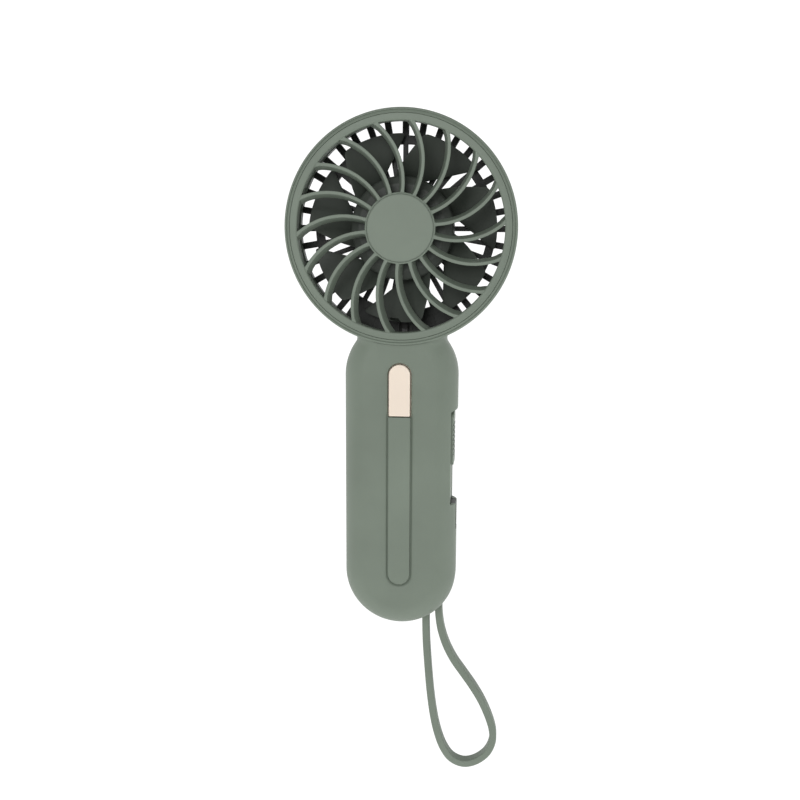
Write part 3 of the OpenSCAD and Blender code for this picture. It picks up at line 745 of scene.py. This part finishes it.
def make_front_grille():
    """Outer ring with its inner skirt, the hub disc and the vanes between them."""
    outer, skirt, face_t = RING_R + 0.08, OPENING_R + 1.4, 1.6
    ring = turned("grille_ring", soften([
        (OPENING_R, SKIRT_Y, 0.2), (OPENING_R, FRONT_Y + 0.05, 0.7), (41.4, FRONT_Y, 0),
        (42.1, FRONT_Y + 0.03, 0), (outer, FRONT_Y + 0.1, 0.28), (outer, LEDGE_Y, 0.1),
        (RING_R - 0.9, LEDGE_Y, 0.1), (RING_R - 0.9, FRONT_Y + face_t, 0.2),
        (skirt, FRONT_Y + face_t, 0.2), (skirt, SKIRT_Y, 0.2)]), 320)
    edge = 0.5
    hub = disc("hub", [
        (BADGE_R - 0.6, HUB_FRONT + 0.8), (BADGE_R + 0.05, HUB_FRONT + 0.8),
        (BADGE_R + 0.05, HUB_FRONT + 0.12), (BADGE_R + 0.08, HUB_FRONT + 0.03),
        (BADGE_R + 0.16, HUB_FRONT)] + [
        (HUB_R - edge + u, HUB_FRONT + edge - v) for v, u in arc(edge, 90, 0, 6)] + [
        (HUB_R, HUB_FRONT + 2.2), (HUB_R - 0.3, HUB_FRONT + 2.5)])
    ribs = join("ribs", [turn(make_rib(), RIB_FIRST + 360 * i / RIBS) for i in range(RIBS)])
    rib_end, outside = OPENING_R + 1.3, 60
    cut(ribs, turned("trim", [(rib_end, -FAR), (outside, -FAR), (outside, 0), (rib_end, 0)], 320))
    grille = add(join("grille_front", [ring, hub]), ribs)
    return dress(smooth(grille, 40), "housing", "front_grille")


def make_badge():
    """Blank round inlay in the hub."""
    edge = 0.12
    section = [(BADGE_R - edge + u, HUB_FRONT + edge - v) for v, u in arc(edge, 90, 0, 4)]
    badge = disc("badge", section + [(BADGE_R, HUB_FRONT + 0.78)])
    return dress(smooth(badge), "housing", "hub_badge")


make_front_grille()
make_badge()


# ---- rear grille ----

REAR_FRONT = 8.4
REAR_BACK = high("rear_grille").y
BARS = 36
BAR_W = 2.6
INNER_BAR_W = 2.0
SCREW_PCD = 18


def bar(r0, r1, width):
    """One radial bar of the rear grille, lying along +X from the head's axis."""
    return rounded_box("bar", (r0, REAR_FRONT, HEAD_Z - width / 2),
                       (r1, REAR_BACK, HEAD_Z + width / 2), 0.35, 3)


def flat_ring(name, r_in, r_out, radius):
    """A ring of the rear grille, with rounded edges."""
    corners = ((r_in, REAR_FRONT), (r_out, REAR_FRONT), (r_out, REAR_BACK), (r_in, REAR_BACK))
    return turned(name, soften([(r, y, radius) for r, y in corners], 4), 288)


def make_rear_grille():
    """Two rings of bars, the disc that carries the motor, and the closed part at the bottom."""
    rim_overlap = 0.2
    bars = []
    for i in range(BARS):
        angle = 360 * i / BARS
        bars.append(turn(bar(18.6, 34, INNER_BAR_W), angle))
        bars.append(turn(bar(35.8, RIM_R + rim_overlap, BAR_W), angle))
    hub = disc("motor_mount", [
        (18.9, REAR_FRONT), (19.4, REAR_FRONT + 0.4), (19.4, REAR_BACK - 0.5),
        (19.0, REAR_BACK - 0.1), (18.5, REAR_BACK), (14.5, REAR_BACK), (14.1, REAR_BACK - 0.35),
        (13.3, REAR_BACK - 0.35), (12.9, REAR_BACK)])
    rings = join("rings", [hub, flat_ring("ring", 33, 36.5, 0.35),
                           flat_ring("rim", RIM_R, RING_R, 0.15)])
    grille = add(rings, join("bars", bars))
    closed = math.radians(35)
    outline = [(r * math.sin(a), HEAD_Z - r * math.cos(a))
               for r, way in ((RIM_R + rim_overlap, 1), (35.9, -1))
               for a in [way * (-closed + closed * k / 20) for k in range(41)]]
    plate = loft("plate", [[(x, y, z) for x, z in outline]
                           for y in (REAR_FRONT + 0.05, REAR_BACK - 0.05)])
    add(grille, plate)
    half_spoke = 3.5
    spoke = rounded_box("spoke", (-half_spoke, REAR_FRONT - 0.02, HEAD_Z - RIM_R - rim_overlap),
                        (half_spoke, REAR_BACK - 0.03, HEAD_Z - 17), 0.3)
    add(grille, spoke)
    foot = REAR_FRONT + 0.5
    seat_in, seat_out, seat_y = 4.02, 5.6, 7.7
    seat = [(seat_in, seat_y), (seat_out, seat_y), (seat_out, foot), (seat_in, foot)]
    add(grille, turned("seat", seat, 64))
    thread_r, head_r = 0.91, 1.86
    for i in range(3):
        angle = math.radians(90 + 120 * i)
        x = SCREW_PCD / 2 * math.cos(angle)
        z = HEAD_Z + SCREW_PCD / 2 * math.sin(angle)
        add(grille, disc("boss", [(1.8, 7.6), (2, 7.8), (2, foot)], x, z, 32))
        sink = [(thread_r, 6), (thread_r, REAR_BACK - 1.06), (head_r, REAR_BACK - 1.06),
                (head_r, REAR_BACK - 0.3), (2.2, REAR_BACK + 0.2), (2.2, REAR_BACK + 1)]
        cut(grille, disc("sink", sink, x, z, 40))
    half_groove = 2.1
    cut(grille, rounded_box("wire_groove", (-half_groove, 7, HEAD_Z - 44.5),
                            (half_groove, 9.8, HEAD_Z - 6.2), 0.2))
    return dress(smooth(grille, 35), "housing", "rear_grille")


make_rear_grille()


# ---- impeller ----

BLADES = 7
BLADE_FIRST = 71
BLADE_ROOT = 18.2
BLADE_BACK = 5.1
BLADE_RISE = 8.7
TIP_R = 37
ROTOR_R = 20.2
ROTOR_FRONT = low("impeller").y


def polar(r, degrees):
    """The place at a radius and an angle."""
    return Vector((r * math.cos(math.radians(degrees)), r * math.sin(math.radians(degrees))))


def clockwise_edge(r):
    """Angle of a blade's clockwise edge at radius r: a straight line from hub to tip."""
    p = polar(BLADE_ROOT, 3)
    d = polar(43, -37) - p
    k = p.dot(d)
    t = (-k + math.sqrt(k * k - d.dot(d) * (p.dot(p) - r * r))) / d.dot(d)
    return math.atan2(*(p + d * t).yx)


def anticlockwise_edge(r):
    """Angle of the other edge: a gentle curve through three places."""
    places = [(BLADE_ROOT, 31), (28.5, 14.5), (TIP_R, 5.7)]
    angle = 0
    for i, (ri, ai) in enumerate(places):
        share = 1
        for j, (rj, _) in enumerate(places):
            if i != j:
                share *= (r - rj) / (ri - rj)
        angle += ai * share
    return math.radians(angle)


def make_blade():
    """One curved blade: its clockwise edge is at the back, where the air comes in."""
    corner, root, camber_height = 1.6, 19.3, 1.3
    thin, thick = 0.18, 0.62
    radii = [root + (TIP_R - corner - root) * k / 14 for k in range(14)]
    radii += [TIP_R - corner + corner * math.sin(math.radians(90 * k / 8)) for k in range(9)]
    rings = []
    steps = 24
    for r in radii:
        over = max(0, r - (TIP_R - corner))
        lost = (corner - math.sqrt(max(0, corner ** 2 - over ** 2))) / r
        full0, full1 = clockwise_edge(r), anticlockwise_edge(r)
        out = (r - root) / (TIP_R - root)
        front_side, back_side = [], []
        for k in range(steps + 1):
            s = 0.5 - 0.5 * math.cos(math.pi * k / steps)
            a = full0 + lost + (full1 - full0 - 2 * lost) * s
            u = (a - full0) / (full1 - full0)
            camber = camber_height * math.sin(math.pi * u) * (1 - 0.3 * out)
            y = BLADE_BACK - BLADE_RISE * u + camber
            half = thin + thick * math.sqrt(max(0, math.sin(math.pi * s))) * (1 - 0.35 * out)
            if k in (0, steps):
                half = 0.1
            x, z = r * math.cos(a), r * math.sin(a)
            front_side.append((x, y - half, HEAD_Z + z))
            back_side.append((x, y + half, HEAD_Z + z))
        rings.append(front_side + back_side[::-1])
    return loft("blade", rings)


def make_impeller():
    """The hub, hollow behind for the motor, with its blades."""
    f = ROTOR_FRONT
    hub = disc("rotor_hub", [
        (0.4, f), (16.6, f), (17.1, f + 0.08), (17.5, f + 0.3), (19.4, f + 1.2), (19.9, f + 1.6),
        (ROTOR_R, f + 2.2), (ROTOR_R, 6.3), (ROTOR_R - 0.2, 6.5), (ROTOR_R - 1.2, 6.5),
        (ROTOR_R - 1.4, 6.3), (ROTOR_R - 1.4, f + 2.4), (16.9, f + 1.4), (15.9, f + 1.4),
        (15.8, 0.9), (14.6, 0.9), (14.52, f + 1.6), (3, f + 1.6), (2.9, f + 1.7), (1.01, f + 1.6),
        (1.01, f + 0.7), (0.4, f + 0.7)], steps=200)
    blades = join("blades", [turn(make_blade(), BLADE_FIRST + 360 * i / BLADES)
                             for i in range(BLADES)])
    rotor = add(hub, blades)
    return dress(smooth(rotor, 38), "rotor", "impeller")


make_impeller()


# ---- button and strip ----

def make_button():
    """Cream button: a flat face with a rounded edge, and a flange behind."""
    front = low("front_button").y
    levels = [(-0.9, front + 0.06), (-0.62, front), (-0.5, front + 0.03), (-0.23, front + 0.22),
              (-0.15, front + 0.42), (-0.15, -8.2), (0.9, -8.2), (0.9, -7.4)]
    button = loft("press_button", [strip_ring(g, y, STRIP_SEAM, STRIP_TOP, True)
                                   for g, y in levels])
    return dress(smooth(button, 30), "button", "front_button")


def make_strip():
    """Bar with soft edges that lies in the groove below the button."""
    front, back = low("front_strip").y, high("front_strip").y
    levels = [(-0.3, front), (-0.15, front + 0.03), (-0.03, front + 0.12), (0.03, front + 0.25),
              (0.05, front + 0.5), (0.05, back)]
    strip = loft("strip_bar", [strip_ring(g, y, STRIP_LOW, STRIP_SEAM + STRIP_W / 2)
                               for g, y in levels])
    cut(strip, rounded_box("end", (-10, -13, STRIP_SEAM - 0.35), (10, -5, 60), 0.1))
    return dress(smooth(strip, 30), "housing", "front_strip")


make_button()
make_strip()


# ---- CAD pieces that keep their own shape ----

for name, node in frame["nodes"].items():
    if not node.hide_render:
        node.data.materials.clear()
        node.data.materials.append(MATERIALS[SLOT_OF[name]])


# ---- floor, backdrop and lights ----

def make_stage():
    """A floor below the fan that curves up all round into a backdrop: grey paper with a painted glow, full behind
    the fan and fainter in front, that makes it look pale and lights the fan.
    """
    floor_z, flat, bend, top, steps = BOTTOM_Z - 110, 1100, 600, 1500, 96
    line = [(0.5, floor_z), (flat / 2, floor_z), (flat, floor_z)]
    line += [(flat + u, floor_z + bend + v) for u, v in arc(bend, -90, 0, 24)[1:]]
    line.append((flat + bend, top))
    points, faces = [], []
    for i in range(steps):
        a = 2 * math.pi * i / steps
        points += [(r * math.cos(a), r * math.sin(a), z) for r, z in line]
        j = (i + 1) % steps
        for k in range(len(line) - 1):
            faces.append([i * len(line) + k, i * len(line) + k + 1,
                          j * len(line) + k + 1, j * len(line) + k])
    faces.append([i * len(line) for i in range(steps)])
    floor = smooth(new_piece("backdrop", points, faces), 60)
    material, tree, shader = nodes_of("glowing_paper")
    tone = ramp(tree, noise(tree, 3, 2), [(0.3, (0.14,) * 3), (0.7, (0.16,) * 3)])
    tree.links.new(tone, shader.inputs["Base Color"])
    shader.inputs["Roughness"].default_value = 0.9
    shader.inputs["Specular IOR Level"].default_value = 0.1
    place = tree.nodes.new("ShaderNodeTexCoord")
    split = tree.nodes.new("ShaderNodeSeparateXYZ")
    tree.links.new(place.outputs["Object"], split.inputs["Vector"])
    # painted glow: the paper glows fully behind the fan and less towards the front
    glow = map_range(tree, split.outputs["Y"], (-0.9, 0, 0.3, 1))
    glow.interpolation_type = "SMOOTHSTEP"
    shader.inputs["Emission Color"].default_value = (1, 1, 1, 1)
    tree.links.new(glow.outputs["Result"], shader.inputs["Emission Strength"])
    floor.data.materials.append(material)


def area_light(name, place, target, size, watts):
    """A soft lamp that faces its target."""
    data = bpy.data.lights.new(name, "AREA")
    data.shape = "RECTANGLE"
    data.size, data.size_y = size
    data.energy = watts
    lamp = linked(name, data)
    lamp.location = place
    lamp.rotation_euler = (Vector(target) - Vector(place)).to_track_quat("-Z", "Y").to_euler()


def make_light():
    """Faint light from all round, and three soft lamps."""
    world = bpy.data.worlds.new("studio")
    bpy.context.scene.world = world
    world.use_nodes = True
    sky = world.node_tree.nodes["Background"]
    sky.inputs["Color"].default_value = (1, 1, 1, 1)
    sky.inputs["Strength"].default_value = 0.12
    middle = (0, 0, 0.04)
    area_light("key", (-0.22, -1.35, 0.5), middle, (0.6, 0.6), 6.9)
    area_light("fill", (0.9, -0.9, 0.2), middle, (0.9, 0.9), 1.6)
    area_light("top", (0, 0.1, 1.2), middle, (1.0, 0.8), 1.0)
    scene = bpy.context.scene
    scene.view_settings.view_transform = "Standard"
    scene.view_settings.look = "None"


make_stage()
make_light()
